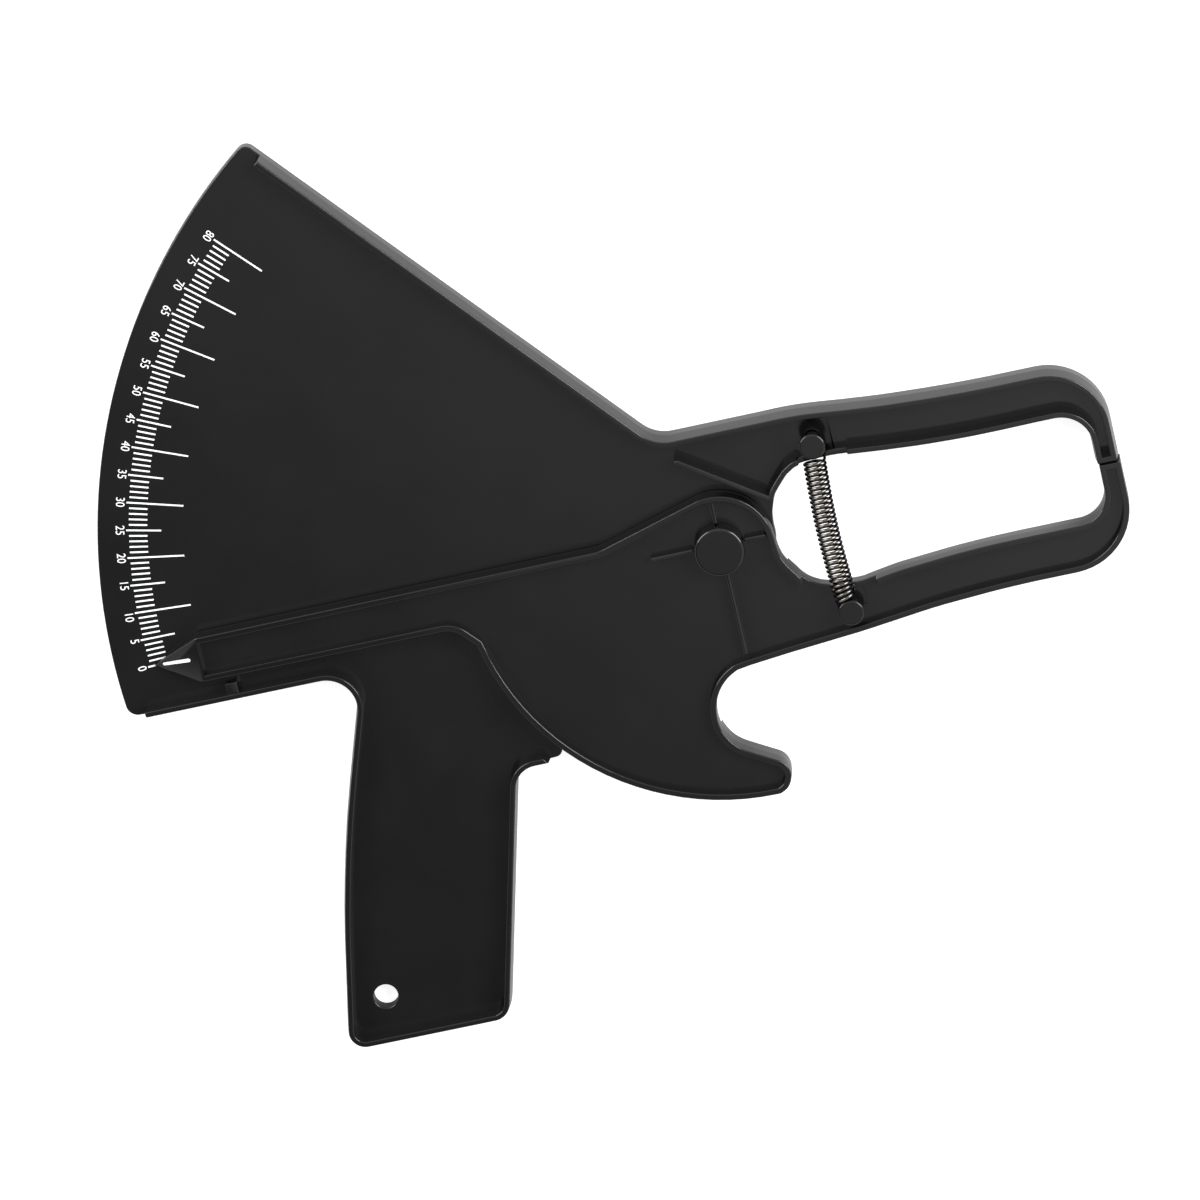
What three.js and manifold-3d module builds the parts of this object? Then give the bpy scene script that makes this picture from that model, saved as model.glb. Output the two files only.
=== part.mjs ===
// A skinfold caliper. The flat moulded body carries the upper jaw, the dial and the grip. The moulded
// lever carries the lower jaw, the trigger and the pointer arm. The lever turns on a stud, and a
// tension spring between two posts keeps the jaws together.
// Millimetres. The origin is on the pivot's axis in the back plane, +X runs along the zero line to
// the jaws, +Y to the upper jaw and +Z to the person who reads the dial.
import * as THREE from 'three';
import { mergeVertices } from 'three/addons/utils/BufferGeometryUtils.js';
import Module from 'manifold-3d';

const wasm = await Module();
wasm.setup();

// Sizes that the whole instrument follows
const reach = 106;
const jawTop = 32.2;
const jawFoot = 26.6;
const contactHeight = 1.2;
const tipInner = 3.4;
const tipOuter = 2.8;
const tipWall = 1.6;
const clearance = 0.3;
const runningGap = 0.1;
const overrun = 2;
const rimWidth = 1.5;
const frontDraft = 0.5;
const leverRimWidth = 1.65;
const leverDraft = 0.15;

// Heights from the back plane
const plateThickness = 4.5;
const bodyDepth = 10.2;
const leverDepth = 6;
const leverWeb = 2.9;
const jawDepth = 8.4;
const hookBack = 1;
const leverBack = plateThickness + clearance;
const leverFloor = leverBack + leverWeb;
const leverFront = leverBack + leverDepth;
const jawBack = leverFront - jawDepth;

// Dial
const dialRadius = 166.5;
const dialDrop = 13.65;
const dialTopAngle = 126.3;
const dialTopCorner = 2.8;
const dialFootCorner = 3.2;
const rimlessBand = 5.2;

// Upper jaw and neck
const upperOuterCorner = 16.8;
const innerCorner = 8.2;
const neckBack = 10.35;
const neckFillet = 10;
const windowX = 37;
const hubRimGap = 4.4;
const notchStart = 25.5;
const notchEnd = 38.8;
const notchDepth = 5;

// Grip
const gripRoot = 102;
const gripRootFillet = 7.8;
const gripLength = 104.2;
const gripFootLeft = 129.95;
const gripFootRight = 84.3;
const gripLeftCorner = 5;
const gripRightCorner = 5.5;
const gripRightFillet = 6;
const ledgeDrop = 49.2;
const ledgeLength = 15.03;
const ledgeRimGap = 6.03;
const ledgeCorner = 2.1;
const hangerInset = 13.25;
const hangerRise = 11.85;
const hangerDiameter = 6.7;

// Zero block on the dial's lower rim, and the stiffening rib over the lever's shoulder
const blockX = 134.8;
const blockLength = 3.2;
const blockRise = 4.9;
const blockHeight = 4.5;
const ribWidth = 1.5;
const shoulderRibX = 5.9;
const shoulderRibY = 25.7;
const shoulderRibEndX = 15.6;
const shoulderRibEndY = 11;

// Lever
const domeRadius = 14.8;
const armHalfWidth = 6.15;
const armAxisDrop = 0.25;
const armTipInset = 11;
const armTipLength = 13;
const armTipDrop = 0.7;
const armTipRise = 0.5;
const armCorner = 2.5;
const armShoulder = 31.5;
const armShoulderFillet = 10;
const armHeelGap = 4.25;
const armHeelFillet = 7;
const triggerRadius = 70.25;
const hookDepth = 23;
const lowerTipInner = 2.65;
const lowerTipOuter = 3.05;
const lowerInnerY = 14.05;
const lowerOuterCorner = 17.4;
const webRibWidth = 1.1;
const webRibHeight = 2.5;
const webRibRise = 1;
const webRibShift = 0.55;
const leftRibLength = 11.3;
const rightRibLength = 5.5;
const upRibLength = 6.5;
const downRibLength = 23;
const loweredRimStart = 19.5;
const sweepGap = 0.65;
const deepEdge = 14;
const deepHubGap = 3.7;

// Pivot stud and its washer
const capDiameter = 13.5;
const capTop = 13.4;
const capRounding = 0.7;
const shankDiameter = 7;
const washerDiameter = 12.4;
const washerThickness = 0.8;
const recessDepth = 1.5;

// Spring posts
const upperPostX = 30.3;
const upperPostY = 23.2;
const lowerPostX = 30.65;
const lowerPostY = 23.9;
const headDiameter = 7;
const headThickness = 1.3;
const headRounding = 0.4;
const neckDiameter = 4;
const postSocketDepth = 2.2;
const postPocketLeft = 27.4;
const postPocketRight = 35.3;
const postPocketHeight = 5.3;
const upperPocketDrop = 3.8;
const postPocketDepth = 0.4;

// Spring
const wireDiameter = 0.78;
const springDiameter = 6.4;
const springPitch = 1.3;
const springAxisHeight = 11.4;
const springBow = 0.75;
const springFootLean = 14;
const leanCurls = 4;
const springTopX = 30;
const springFootX = 30.1;

// Degrees, counts and shares
const arcStep = 7;
const dialStep = 1.4;
const cornerSideShare = 0.46;
const freeSideShare = 0.96;
const curveSteps = 3;
const roundSides = 48;
const smallSides = 32;
const armSweep = 46;

// Outlines as shares. The jaws follow [reach, jawTop or jawFoot].
const upperOuterShares = [
  [0.849, 0.8935], [0.755, 0.8935], [0.66, 0.9], [0.566, 0.9135], [0.472, 0.933],
  [0.377, 0.962], [0.3, 0.99], [0.236, 1.0025], [0.17, 1.0015],
];
const upperInnerShares = [
  [0.321, 0.563], [0.368, 0.553], [0.42, 0.536], [0.49, 0.516], [0.566, 0.499], [0.66, 0.487],
  [0.755, 0.485], [0.849, 0.489],
];
const upperCornerShare = 0.8935;
const upperInnerCornerShare = 0.489;
const lowerInnerShares = [
  [0.863, 0.529], [0.755, 0.528], [0.66, 0.5335], [0.585, 0.5465], [0.519, 0.565], [0.472, 0.581],
  [0.4245, 0.5985], [0.363, 0.637], [0.321, 0.659],
];
// The window's edges beside the hub follow [domeRadius, domeRadius], and its upper corner
// [domeRadius, jawTop].
const upperHubShares = [[1.04, 0.318], [1.091, 0.489], [1.155, 0.652], [1.243, 0.804]];
const windowCornerShares = [[1.474, 0.486], [1.565, 0.5155], [1.66, 0.5405], [1.826, 0.556]];
const lowerHubShares = [
  [1.752, -1.127], [1.476, -1], [1.33, -0.862], [1.247, -0.735], [1.151, -0.593],
  [1.06, -0.4155], [1.016, -0.218],
];
const lowerOuterShares = [
  [0.011, 1.248], [0.113, 1.206], [0.208, 1.172], [0.298, 1.142], [0.403, 1.094], [0.495, 1.051],
  [0.587, 1.025], [0.67, 1.0075], [0.755, 0.999], [0.83, 0.999],
];
// The grip's bowed edge follows [gripFootLeft, gripLength + dialDrop].
const gripEdgeShares = [[0.816, 0.22], [0.885, 0.4506], [0.9365, 0.662], [0.972, 0.848]];
// The hook's tip and the finger notch follow triggerRadius across. Down, 0 is the lower jaw's heel
// and 1 the trigger's foot.
const hookShares = [
  [0.017, 1], [0.045, 0.9735], [0.0635, 0.93], [0.0735, 0.8735], [0.068, 0.815],
  [0.051, 0.7665], [0.022, 0.731], [-0.018, 0.6875], [-0.056, 0.646], [-0.0905, 0.6035],
  [-0.119, 0.549], [-0.14, 0.4785], [-0.152, 0.407], [-0.1535, 0.3257], [-0.143, 0.224],
  [-0.117, 0.131], [-0.0795, 0.06], [-0.038, 0.016],
];

const radians = (degrees) => degrees * Math.PI / 180;
const polar = (radius, degrees) => [radius * Math.cos(radians(degrees)), radius * Math.sin(radians(degrees))];

function arc([centreX, centreY], radius, from, to, step = arcStep) {
  const count = Math.max(1, Math.ceil(Math.abs(to - from) / step));
  return Array.from({ length: count + 1 }, (_, index) => {
    const [x, y] = polar(radius, from + (to - from) * index / count);
    return [centreX + x, centreY + y];
  });
}

function smooth(points, steps = curveSteps) {
  const spline = new THREE.SplineCurve(points.map(([x, y]) => new THREE.Vector2(x, y)));
  return spline.getPoints((points.length - 1) * steps).map(({ x, y }) => [x, y]);
}

const scaled = (shares, width, height) => shares.map(([x, y]) => [x * width, y * height]);

// Rounds each corner that has a third number, its radius, within what its two sides allow.
function rounded(corners) {
  const outline = [];
  const count = corners.length;
  corners.forEach(([x, y, radius = 0], index) => {
    if (!radius) {
      outline.push([x, y]);
      return;
    }
    const corner = new THREE.Vector2(x, y);
    const sides = [corners[(index + count - 1) % count], corners[(index + 1) % count]];
    const rays = sides.map(([sideX, sideY]) => new THREE.Vector2(sideX, sideY).sub(corner));
    const limits = rays.map((ray, side) => ray.length() * (sides[side][2] ? cornerSideShare : freeSideShare));
    rays.forEach((ray) => ray.normalize());
    const half = Math.acos(THREE.MathUtils.clamp(rays[0].dot(rays[1]), -1, 1)) / 2;
    const trim = Math.min(radius / Math.tan(half), ...limits);
    const used = trim * Math.tan(half);
    const middle = rays[0].clone().add(rays[1]).normalize();
    const centre = corner.clone().addScaledVector(middle, used / Math.sin(half));
    const [start, end] = rays.map((ray) => corner.clone().addScaledVector(ray, trim).sub(centre));
    const from = THREE.MathUtils.radToDeg(start.angle());
    const turn = THREE.MathUtils.euclideanModulo(THREE.MathUtils.radToDeg(end.angle()) - from + 180, 360) - 180;
    outline.push(...arc([centre.x, centre.y], used, from, from + turn));
  });
  return outline;
}

// Moves each side of an anticlockwise outline inwards.
function inset(points, distance) {
  const count = points.length;
  return points.map(([x, y], index) => {
    const [beforeX, beforeY] = points[(index + count - 1) % count];
    const [afterX, afterY] = points[(index + 1) % count];
    const first = new THREE.Vector2(x - beforeX, y - beforeY).normalize();
    const second = new THREE.Vector2(afterX - x, afterY - y).normalize();
    const push = distance / (1 + first.dot(second));
    return [x - push * (first.y + second.y), y + push * (first.x + second.x)];
  });
}

const shapeOf = (points) => new THREE.Shape(points.map(([x, y]) => new THREE.Vector2(x, y)));

function solid(geometry) {
  geometry.deleteAttribute('normal');
  geometry.deleteAttribute('uv');
  const merged = mergeVertices(geometry);
  return new wasm.Manifold(new wasm.Mesh({
    numProp: 3,
    vertProperties: new Float32Array(merged.attributes.position.array),
    triVerts: new Uint32Array(merged.index.array),
  }));
}

// A moulded plate through rings of [height, inset], widest at its parting line
function moulding(points, rings) {
  const levels = rings.map(([, distance]) => inset(points, distance));
  const positions = levels.flatMap((level, ring) => level.flatMap(([x, y]) => [x, y, rings[ring][0]]));
  const count = points.length;
  const face = (level) => THREE.ShapeUtils.triangulateShape(level.map(([x, y]) => new THREE.Vector2(x, y)), []);
  const last = rings.length - 1;
  const index = [
    ...face(levels[0]).flatMap(([a, b, c]) => [a, c, b]),
    ...face(levels[last]).flatMap((corners) => corners.map((corner) => corner + last * count)),
  ];
  for (let ring = 0; ring < last; ring += 1) {
    for (let k = 0; k < count; k += 1) {
      const a = ring * count + k;
      const b = ring * count + (k + 1) % count;
      index.push(a, b, b + count, a, b + count, a + count);
    }
  }
  const geometry = new THREE.BufferGeometry();
  geometry.setAttribute('position', new THREE.Float32BufferAttribute(positions, 3));
  geometry.setIndex(index);
  return solid(geometry);
}

function prism(points, back, front) {
  const geometry = new THREE.ExtrudeGeometry(shapeOf(points), { depth: front - back, bevelEnabled: false });
  geometry.translate(0, 0, back);
  return solid(geometry);
}

const block = (left, right, bottom, top, back, front) => prism(
  [[left, bottom], [right, bottom], [right, top], [left, top]], back, front);

const disc = (x, y, radius, back, front, sides = roundSides) => prism(
  arc([x, y], radius, 0, 360 - 360 / sides, 360 / sides), back, front);

// A straight rib with round ends between two points.
function rib([startX, startY], [endX, endY], width, back, front) {
  const along = THREE.MathUtils.radToDeg(Math.atan2(endY - startY, endX - startX));
  const outline = [
    ...arc([endX, endY], width / 2, along - 90, along + 90, arcStep * 4),
    ...arc([startX, startY], width / 2, along + 90, along + 270, arcStep * 4),
  ];
  return prism(outline, back, front);
}

// A slice of a ring about the pivot.
const sector = (radius, from, to, back, front) => prism([[0, 0], ...arc([0, 0], radius, from, to)], back, front);

function piece(name, body, material) {
  const { vertProperties, triVerts, numProp } = body.getMesh();
  if (numProp !== 3) throw new Error(`${name} carries more than positions`);
  const geometry = new THREE.BufferGeometry();
  geometry.setAttribute('position', new THREE.BufferAttribute(new Float32Array(vertProperties), 3));
  geometry.setIndex(new THREE.BufferAttribute(new Uint32Array(triVerts), 1));
  geometry.computeVertexNormals();
  const mesh = new THREE.Mesh(geometry, material);
  mesh.name = name;
  return mesh;
}

const blackPlastic = new THREE.MeshStandardMaterial({ color: 0x161616, roughness: 0.3, metalness: 0 });
const capPlastic = new THREE.MeshStandardMaterial({ color: 0x141414, roughness: 0.25, metalness: 0 });
const springSteel = new THREE.MeshStandardMaterial({ color: 0xc8c6c0, roughness: 0.25, metalness: 1 });
const washerSteel = new THREE.MeshStandardMaterial({ color: 0xa9a9a6, roughness: 0.4, metalness: 1 });

// Values that several pieces share
const hubRadius = domeRadius + clearance;
const shankHole = shankDiameter / 2 + runningGap;
const neckRadius = neckDiameter / 2;
const socketRadius = neckRadius + runningGap;
const tipLeft = reach - tipInner;
const tipRight = reach + tipOuter;
const upperContact = contactHeight + clearance / 2;
const lowerContact = contactHeight - clearance / 2;
const gripFoot = dialDrop + gripLength;

// Body outline, anticlockwise from the jaw's tip, at the parting line, which is the plate's front face
const dialFootAngle = 180 + THREE.MathUtils.radToDeg(Math.asin(dialDrop / dialRadius));
const dialLead = THREE.MathUtils.radToDeg((dialTopCorner + dialFootCorner) / dialRadius);
const hiddenArcRadius = triggerRadius + clearance + sweepGap;
const ledgeEnd = Math.sqrt(hiddenArcRadius ** 2 - ledgeDrop ** 2);
const ledgeSlope = Math.atan2(ledgeDrop, ledgeEnd);
const ledgeTrim = ledgeCorner / Math.tan((Math.PI / 2 - ledgeSlope) / 2) / freeSideShare;
const ledgeAngle = 180 + THREE.MathUtils.radToDeg(ledgeSlope - ledgeTrim / hiddenArcRadius);
const webTurnAngle = 180 + armSweep - 20;
const hubStartAngle = webTurnAngle + 41;
const upperInner = smooth([
  ...scaled(upperHubShares, domeRadius, domeRadius),
  ...scaled(windowCornerShares, domeRadius, jawTop),
  ...scaled(upperInnerShares, reach, jawTop),
]);
const bodyOutline = rounded([
  [tipRight, contactHeight - overrun],
  [tipRight, jawTop * upperCornerShare, upperOuterCorner],
  ...smooth(scaled(upperOuterShares, reach, jawTop)),
  [-neckBack, jawTop, neckFillet],
  [...polar(dialRadius, dialTopAngle), dialTopCorner],
  ...arc([0, 0], dialRadius, dialTopAngle + dialLead, dialFootAngle - dialLead, dialStep),
  [...polar(dialRadius, dialFootAngle), dialFootCorner],
  [-gripRoot, -dialDrop, gripRootFillet],
  ...smooth(scaled(gripEdgeShares, -gripFootLeft, -gripFoot)),
  [-gripFootLeft, -gripFoot, gripLeftCorner],
  [-gripFootRight, -gripFoot, gripRightCorner],
  [-ledgeEnd - ledgeLength, -ledgeDrop, gripRightFillet],
  [-ledgeEnd, -ledgeDrop, ledgeCorner],
  ...arc([0, 0], hiddenArcRadius, ledgeAngle, webTurnAngle),
  ...arc([0, 0], hubRadius, hubStartAngle, 366),
  ...upperInner,
  [tipLeft, jawTop * upperInnerCornerShare, innerCorner],
  [tipLeft, contactHeight - overrun],
]);

// Body: the outline less its trays, with the rim left along the open edges
const cutTop = bodyDepth + overrun;
const tipWallBlock = block(windowX, tipRight + overrun, contactHeight - overrun - rimWidth,
  upperContact + tipWall, 0, cutTop + overrun);
const bodyTray = prism(inset(bodyOutline, frontDraft + rimWidth), plateThickness, cutTop).subtract(tipWallBlock);
const rimlessRadius = dialRadius - rimlessBand;
const dialEdge = sector(dialRadius + overrun, dialTopAngle - 5, dialFootAngle + 5, plateThickness, cutTop)
  .subtract(disc(0, 0, rimlessRadius, 0, cutTop + overrun, roundSides * 4));
const leverRoom = sector(Math.hypot(ledgeEnd + ledgeRimGap, ledgeDrop), dialTopAngle + 3, 352, plateThickness, cutTop);
const domeRoom = disc(0, 0, hubRadius + hubRimGap, plateThickness, cutTop);
const notchFloor = springAxisHeight - springDiameter / 2 - clearance;
const springNotch = block(notchStart, notchEnd, jawTop / 2, jawTop * upperInnerCornerShare + notchDepth,
  notchFloor, cutTop);
const upperPocketFloor = plateThickness - postPocketDepth;
const upperPocket = block(postPocketLeft, postPocketRight, upperPostY - headDiameter / 2 + clearance,
  jawTop - upperPocketDrop, upperPocketFloor, cutTop);
const stopBlock = block(-blockX - blockLength, -blockX, -dialDrop + frontDraft, -dialDrop + blockRise,
  plateThickness / 2, plateThickness + blockHeight);
const shoulderRib = rib([-shoulderRibX, shoulderRibY], [shoulderRibEndX, shoulderRibEndY], ribWidth,
  plateThickness / 2, bodyDepth);
const upperSocketFloor = upperPocketFloor - postSocketDepth;
const body = moulding(bodyOutline, [[0, 0], [plateThickness, 0], [bodyDepth, frontDraft]])
  .subtract(block(windowX, tipRight + overrun, contactHeight - 2 * overrun, upperContact, -overrun, cutTop))
  .subtract(bodyTray)
  .subtract(dialEdge)
  .subtract(leverRoom)
  .subtract(domeRoom)
  .subtract(springNotch)
  .add(stopBlock)
  .add(shoulderRib)
  .subtract(upperPocket)
  .subtract(disc(upperPostX, upperPostY, socketRadius, upperSocketFloor, cutTop, smallSides))
  .subtract(disc(hangerInset - gripFootLeft, hangerRise - gripFoot, hangerDiameter / 2, -overrun, cutTop, smallSides))
  .subtract(disc(0, 0, shankHole, -overrun, cutTop))
  .subtract(disc(0, 0, washerDiameter / 2 + clearance, -overrun, recessDepth));

// Lever outline, anticlockwise from the jaw's tip, at the front face
const lowerLeft = reach - lowerTipInner;
const lowerRight = reach + lowerTipOuter;
const armEnd = dialRadius - armTipInset;
const armTop = armHalfWidth - armAxisDrop;
const armBottom = armHalfWidth + armAxisDrop;
const triggerStart = 190;
const jawHeel = jawFoot * lowerOuterShares[0][1];
const leverOutline = rounded([
  [lowerRight, contactHeight + overrun],
  [lowerLeft, contactHeight + overrun],
  [lowerLeft, -lowerInnerY, innerCorner],
  ...smooth([...scaled(lowerInnerShares, reach, -jawFoot), ...scaled(lowerHubShares, domeRadius, domeRadius)]),
  ...arc([0, 0], domeRadius, 3, 101),
  [-armShoulder, armTop + armTipRise, armShoulderFillet],
  [-armEnd + armTipLength, armTop, armCorner],
  [-armEnd, -armTipDrop],
  [-armEnd + armTipLength - rimWidth, -armBottom, armCorner],
  [-triggerRadius - armHeelGap, -armBottom, armHeelFillet],
  ...arc([0, 0], triggerRadius, triggerStart, 270, arcStep / 2),
  ...smooth(hookShares.map(([x, y]) => [x * triggerRadius, -THREE.MathUtils.lerp(jawHeel, triggerRadius, y)])),
  ...smooth(scaled(lowerOuterShares, reach, -jawFoot)),
  [lowerRight, -jawFoot, lowerOuterCorner],
]);

// Lever: the deep jaw and hook reach behind the plate's face, the rest stays in front of it
const leverCutTop = leverFront + overrun;
const leverTipBlock = block(windowX, lowerRight + overrun, lowerContact - tipWall, contactHeight + 2 * overrun,
  0, leverCutTop + overrun);
const armTrayEnd = block(-dialRadius, -armEnd + armTipLength, -dialDrop, dialDrop, 0, leverCutTop + overrun);
const leverTray = prism(inset(leverOutline, leverRimWidth), leverFloor, leverCutTop)
  .subtract(leverTipBlock)
  .subtract(armTrayEnd);
const farRadius = Math.hypot(tipRight, jawTop) + overrun;
const deepJaw = block(deepEdge, farRadius, -triggerRadius, jawTop, jawBack, leverBack)
  .subtract(disc(0, 0, hubRadius + deepHubGap, 0, leverFront));
const deepHook = sector(triggerRadius + overrun, 180 + armSweep + 32, 300, 0, leverBack)
  .subtract(disc(0, 0, triggerRadius - hookDepth, 0, leverFront));
const shallowPart = block(-farRadius * 2, farRadius, -triggerRadius - overrun, jawTop, 0, leverBack)
  .subtract(deepJaw)
  .subtract(deepHook);
const loweredRim = block(loweredRimStart, notchEnd, -lowerPostY + headDiameter / 2, -contactHeight,
  leverFloor, leverCutTop);

// The arm's end slopes down to the dial as a solid wedge.
const wedgeCut = prism([
  [-armEnd - overrun, leverBack + clearance - overrun * leverDepth / armTipLength],
  [-armEnd + armTipLength, leverFront],
  [-armEnd + armTipLength, leverFront + overrun],
  [-armEnd - overrun, leverFront + overrun],
], -dialDrop, dialDrop).rotate([90, 0, 0]);

const ribBack = leverFloor - leverWeb / 2;
const ribTop = leverFloor + webRibHeight;
const ribStart = capDiameter / 2;
const webRibs = [
  [[-ribStart, webRibRise], [-ribStart - leftRibLength, webRibRise]],
  [[ribStart, webRibRise], [ribStart + rightRibLength, webRibRise]],
  [[webRibShift, ribStart], [webRibShift, ribStart + upRibLength]],
  [[webRibShift, -ribStart], [webRibShift, -ribStart - downRibLength]],
].map(([start, end]) => rib(start, end, webRibWidth, ribBack, ribTop));
const capRoom = disc(0, 0, capDiameter / 2 + clearance, leverFloor, leverCutTop);
const lowerPocketFloor = leverFloor - postPocketDepth;
const lowerPocket = block(postPocketLeft, postPocketRight, -lowerPostY,
  -lowerPostY + postPocketHeight, lowerPocketFloor, leverCutTop);
const lowerSocketFloor = lowerPocketFloor - postSocketDepth;
const leverRings = [[hookBack, 0], [(jawBack + leverFront) / 2, -leverDraft], [leverFront, 0]];
const lever = webRibs.reduce((sum, one) => sum.add(one), moulding(leverOutline, leverRings)
  .subtract(block(windowX, lowerRight + overrun, lowerContact, contactHeight + 2 * overrun, 0, leverCutTop))
  .subtract(shallowPart)
  .subtract(wedgeCut)
  .subtract(leverTray)
  .subtract(loweredRim))
  .subtract(capRoom)
  .subtract(lowerPocket)
  .subtract(disc(lowerPostX, -lowerPostY, socketRadius, lowerSocketFloor, leverCutTop, smallSides))
  .subtract(disc(0, 0, shankHole, hookBack, leverCutTop));

function turned(profile, sides) {
  const outline = profile.map(([radius, height]) => new THREE.Vector2(radius, height));
  return solid(new THREE.LatheGeometry(outline, sides)).rotate([90, 0, 0]);
}

// A round head's edge as a quarter circle, from its side up to its flat top
const roundedEdge = (radius, top, rounding) => arc([radius - rounding, top - rounding], rounding, 0, 90, 15);

// Pivot stud: its head lies over the lever's web, its shank ends flush with the body's back
const capUnderside = leverFloor + clearance;
const washerBack = clearance;
const washerFront = washerBack + washerThickness;
const grooveRadius = shankDiameter / 2 - washerThickness;
const stud = turned([
  [0, 0],
  [shankDiameter / 2, 0],
  [shankDiameter / 2, washerBack - clearance / 2],
  [grooveRadius, washerBack - clearance / 2],
  [grooveRadius, washerFront + clearance],
  [shankDiameter / 2, washerFront + clearance],
  [shankDiameter / 2, capUnderside],
  [capDiameter / 2, capUnderside],
  ...roundedEdge(capDiameter / 2, capTop, capRounding),
  [0, capTop],
], roundSides);

// The washer snaps into the stud's groove and bears in the body's recess.
const washer = turned([
  [grooveRadius + runningGap, washerBack],
  [washerDiameter / 2, washerBack],
  [washerDiameter / 2, washerFront],
  [grooveRadius + runningGap, washerFront],
  [grooveRadius + runningGap, washerBack],
], roundSides);

// Spring posts: a neck pressed into the moulding and a flat round head over the wire's loop
const headUnderside = springAxisHeight + wireDiameter / 2 + clearance;
const headTop = headUnderside + headThickness;
const post = (x, y, socketFloor) => turned([
  [0, socketFloor + clearance],
  [neckRadius, socketFloor + clearance],
  [neckRadius, headUnderside],
  [headDiameter / 2, headUnderside],
  ...roundedEdge(headDiameter / 2, headTop, headRounding),
  [0, headTop],
], smallSides).translate([x, y, 0]);

// Spring: one wire. A loop round the upper post, a bend, the coil, a bend and a loop round the lower post
const coilRadius = (springDiameter - wireDiameter) / 2;
const loopRadius = neckRadius + clearance + wireDiameter / 2;
const endReach = headDiameter / 2 + clearance + wireDiameter / 2;
const coilTop = upperPostY - endReach;
const coilFoot = -lowerPostY + endReach;
const coilLength = coilTop - coilFoot;
const curls = Math.round(coilLength / springPitch - 0.5) + 0.5;
const coilSteps = 8;
const wireSides = 5;
const bendSteps = 7;
const loopSteps = 18;
const loopTurn = 280;

function coilPoint(turns) {
  const share = turns / curls;
  const angle = turns * 2 * Math.PI;
  const middle = THREE.MathUtils.lerp(springTopX, springFootX, share) - springBow * Math.sin(Math.PI * share);
  const lean = radians(springFootLean) * Math.max(0, 1 - (curls - turns) / leanCurls);
  const [acrossCoil, alongCoil] = [Math.cos(lean), Math.sin(lean)].map((part) => part * coilRadius * Math.cos(angle));
  return new THREE.Vector3(middle + acrossCoil, coilTop - coilLength * share + alongCoil,
    springAxisHeight + coilRadius * Math.sin(angle));
}

function bend(start, startDirection, end, endDirection) {
  const handle = start.distanceTo(end) * 0.4;
  return new THREE.CubicBezierCurve3(start, start.clone().addScaledVector(startDirection, handle),
    end.clone().addScaledVector(endDirection, -handle), end).getPoints(bendSteps);
}

// Points of the wire's centre line, with a chosen number of steps a curl
function wirePath(steps) {
  const coil = Array.from({ length: curls * steps + 1 }, (_, index) => coilPoint(index / steps));
  const down = new THREE.Vector3(0, 0, -1);
  const upperLoop = arc([upperPostX, upperPostY], loopRadius, 0, loopTurn, loopTurn / loopSteps)
    .map(([x, y]) => new THREE.Vector3(x, y, springAxisHeight));
  const lowerLoop = arc([lowerPostX, -lowerPostY], loopRadius, 180, 180 + loopTurn, loopTurn / loopSteps)
    .map(([x, y]) => new THREE.Vector3(x, y, springAxisHeight));
  const upperBend = bend(coil[0], down, upperLoop[0], new THREE.Vector3(0, 1, 0));
  const lowerBend = bend(coil[coil.length - 1], down, lowerLoop[0], new THREE.Vector3(0, -1, 0));
  return [
    ...upperLoop.reverse(), ...upperBend.reverse().slice(1), ...coil.slice(1),
    ...lowerBend.slice(1), ...lowerLoop.slice(1),
  ];
}

// A closed tube through the points: rings carried along without twist, with a fan on each end
function wireGeometry(path) {
  const positions = [];
  const index = [];
  const tangents = path.map((_, i) => path[Math.min(i + 1, path.length - 1)].clone()
    .sub(path[Math.max(i - 1, 0)]).normalize());
  let normal = new THREE.Vector3(0, 0, 1);
  path.forEach((point, i) => {
    normal = normal.addScaledVector(tangents[i], -normal.dot(tangents[i])).normalize();
    const side = tangents[i].clone().cross(normal);
    for (let k = 0; k < wireSides; k += 1) {
      const angle = 2 * Math.PI * k / wireSides;
      const spot = point.clone()
        .addScaledVector(normal, wireDiameter / 2 * Math.cos(angle))
        .addScaledVector(side, wireDiameter / 2 * Math.sin(angle));
      positions.push(spot.x, spot.y, spot.z);
    }
  });
  for (let i = 0; i < path.length - 1; i += 1) {
    for (let k = 0; k < wireSides; k += 1) {
      const a = i * wireSides + k;
      const b = i * wireSides + (k + 1) % wireSides;
      index.push(a, b, b + wireSides, a, b + wireSides, a + wireSides);
    }
  }
  const last = (path.length - 1) * wireSides;
  for (let k = 1; k < wireSides - 1; k += 1) {
    index.push(0, k + 1, k);
    index.push(last, last + k, last + k + 1);
  }
  const geometry = new THREE.BufferGeometry();
  geometry.setAttribute('position', new THREE.Float32BufferAttribute(positions, 3));
  geometry.setIndex(index);
  geometry.computeVertexNormals();
  return geometry;
}

// The least gap of the wire to itself, measured between points more than half a curl apart
function leastSelfGap() {
  const path = wirePath(coilSteps * 3);
  const apart = Math.PI * coilRadius;
  const lengths = path.map(() => 0);
  path.forEach((point, i) => {
    if (i) lengths[i] = lengths[i - 1] + point.distanceTo(path[i - 1]);
  });
  let least = Infinity;
  path.forEach((point, i) => {
    for (let k = i + 1; k < path.length; k += 1) {
      if (lengths[k] - lengths[i] > apart) least = Math.min(least, point.distanceTo(path[k]));
    }
  });
  return least - wireDiameter;
}
console.log(`spring: ${curls} curls, least gap to itself ${leastSelfGap().toFixed(3)} mm`);

const springMesh = new THREE.Mesh(wireGeometry(wirePath(coilSteps)), springSteel);
springMesh.name = 'spring';

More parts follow.
